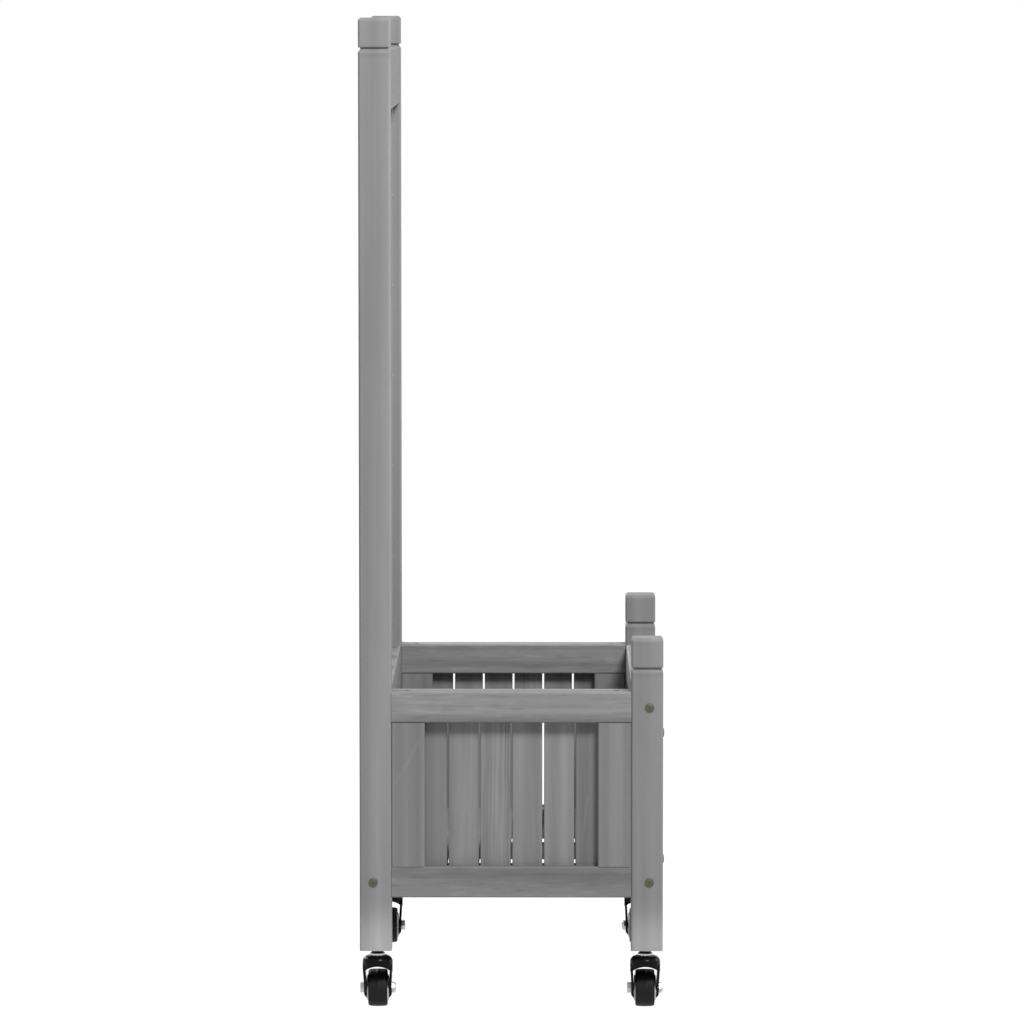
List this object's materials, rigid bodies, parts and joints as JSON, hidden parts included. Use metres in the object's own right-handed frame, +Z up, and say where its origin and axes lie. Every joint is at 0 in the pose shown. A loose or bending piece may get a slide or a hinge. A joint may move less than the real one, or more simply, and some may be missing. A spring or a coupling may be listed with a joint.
{
  "type": "rolling planter",
  "caption": "Slatted timber planter box on swivel casters, with tall rear posts that carry a lattice trellis.",
  "frame": {"origin": "on the ground, under the centre of the overall box", "axes": "+X along the planter's length to its right, +Y from the low front posts to the tall trellis posts, +Z up"},
  "size_m": [0.614, 0.4026, 1.308],
  "materials": {
    "post_wood": "grey stained, planed softwood",
    "rail_wood": "grey stained, planed softwood",
    "slat_wood": "grey stained softwood, open grain",
    "floor_wood": "grey stained, sawn softwood",
    "trellis_wood": "grey stained softwood laths",
    "dowel_wood": "fluted beech, unfinished",
    "bronze_bolts": "dark antique plating, satin",
    "barrel_steel": "zinc plated steel",
    "zinc_screws": "zinc plated steel",
    "black_steel": "gloss black electro-coat",
    "race_chrome": "bright plated steel",
    "bearing_steel": "polished hardened steel",
    "axle_chrome": "bright plated steel",
    "hub_plastic": "grey moulded polypropylene",
    "tyre_rubber": "smooth black rubber"
  },
  "bodies": {
    "root": {"post_front_left": "post_wood", "post_front_right": "post_wood", "post_rear_left": "post_wood", "post_rear_right": "post_wood", "front_top_rail": "rail_wood", "rear_top_rail": "rail_wood", "left_top_rail": "rail_wood", "right_top_rail": "rail_wood", "front_bottom_rail": "rail_wood", "rear_bottom_rail": "rail_wood", "left_bottom_rail": "rail_wood", "right_bottom_rail": "rail_wood", "front_stiles": "rail_wood", "rear_stiles": "rail_wood", "left_stiles": "rail_wood", "right_stiles": "rail_wood", "front_slats": "slat_wood", "rear_slats": "slat_wood", "left_slats": "slat_wood", "right_slats": "slat_wood", "floor_bearers": "floor_wood", "floor_boards": "floor_wood", "board_screws": "zinc_screws", "trellis_top_rail": "rail_wood", "trellis_uprights": "trellis_wood", "trellis_crossbars": "trellis_wood", "trellis_nails": "zinc_screws", "end_bolts": "bronze_bolts", "front_bolts": "bronze_bolts", "barrel_nuts": "barrel_steel", "panel_screws": "zinc_screws", "dowels": "dowel_wood", "caster_inserts": "barrel_steel", "caster_stems": "black_steel", "caster_races": "race_chrome"},
    "swivel_front_left": {"fork_front_left": "black_steel", "bearing_balls_front_left": "bearing_steel", "axle_bolt_front_left": "axle_chrome", "axle_nut_front_left": "axle_chrome"},
    "wheel_front_left": {"wheel_hub_front_left": "hub_plastic", "tyre_front_left": "tyre_rubber"},
    "swivel_front_right": {"fork_front_right": "black_steel", "bearing_balls_front_right": "bearing_steel", "axle_bolt_front_right": "axle_chrome", "axle_nut_front_right": "axle_chrome"},
    "wheel_front_right": {"wheel_hub_front_right": "hub_plastic", "tyre_front_right": "tyre_rubber"},
    "swivel_rear_left": {"fork_rear_left": "black_steel", "bearing_balls_rear_left": "bearing_steel", "axle_bolt_rear_left": "axle_chrome", "axle_nut_rear_left": "axle_chrome"},
    "wheel_rear_left": {"wheel_hub_rear_left": "hub_plastic", "tyre_rear_left": "tyre_rubber"},
    "swivel_rear_right": {"fork_rear_right": "black_steel", "bearing_balls_rear_right": "bearing_steel", "axle_bolt_rear_right": "axle_chrome", "axle_nut_rear_right": "axle_chrome"},
    "wheel_rear_right": {"wheel_hub_rear_right": "hub_plastic", "tyre_rear_right": "tyre_rubber"}
  },
  "joints": [
    {"name": "caster_swivel_front_left", "type": "hinge", "parent": "root", "child": "swivel_front_left", "pos_m": [-0.284, -0.1763, 0.0716], "axis": [0, 0, 1], "continuous": true},
    {"name": "wheel_spin_front_left", "type": "hinge", "parent": "swivel_front_left", "child": "wheel_front_left", "pos_m": [-0.265, -0.1763, 0.025], "axis": [0, 1, 0], "continuous": true},
    {"name": "caster_swivel_front_right", "type": "hinge", "parent": "root", "child": "swivel_front_right", "pos_m": [0.284, -0.1763, 0.0716], "axis": [0, 0, 1], "continuous": true},
    {"name": "wheel_spin_front_right", "type": "hinge", "parent": "swivel_front_right", "child": "wheel_front_right", "pos_m": [0.265, -0.1763, 0.025], "axis": [0, 1, 0], "continuous": true},
    {"name": "caster_swivel_rear_left", "type": "hinge", "parent": "root", "child": "swivel_rear_left", "pos_m": [-0.284, 0.1777, 0.0716], "axis": [0, 0, 1], "continuous": true},
    {"name": "wheel_spin_rear_left", "type": "hinge", "parent": "swivel_rear_left", "child": "wheel_rear_left", "pos_m": [-0.265, 0.1777, 0.025], "axis": [0, 1, 0], "continuous": true},
    {"name": "caster_swivel_rear_right", "type": "hinge", "parent": "root", "child": "swivel_rear_right", "pos_m": [0.284, 0.1777, 0.0716], "axis": [0, 0, 1], "continuous": true},
    {"name": "wheel_spin_rear_right", "type": "hinge", "parent": "swivel_rear_right", "child": "wheel_rear_right", "pos_m": [0.265, 0.1777, 0.025], "axis": [0, 1, 0], "continuous": true}
  ]
}
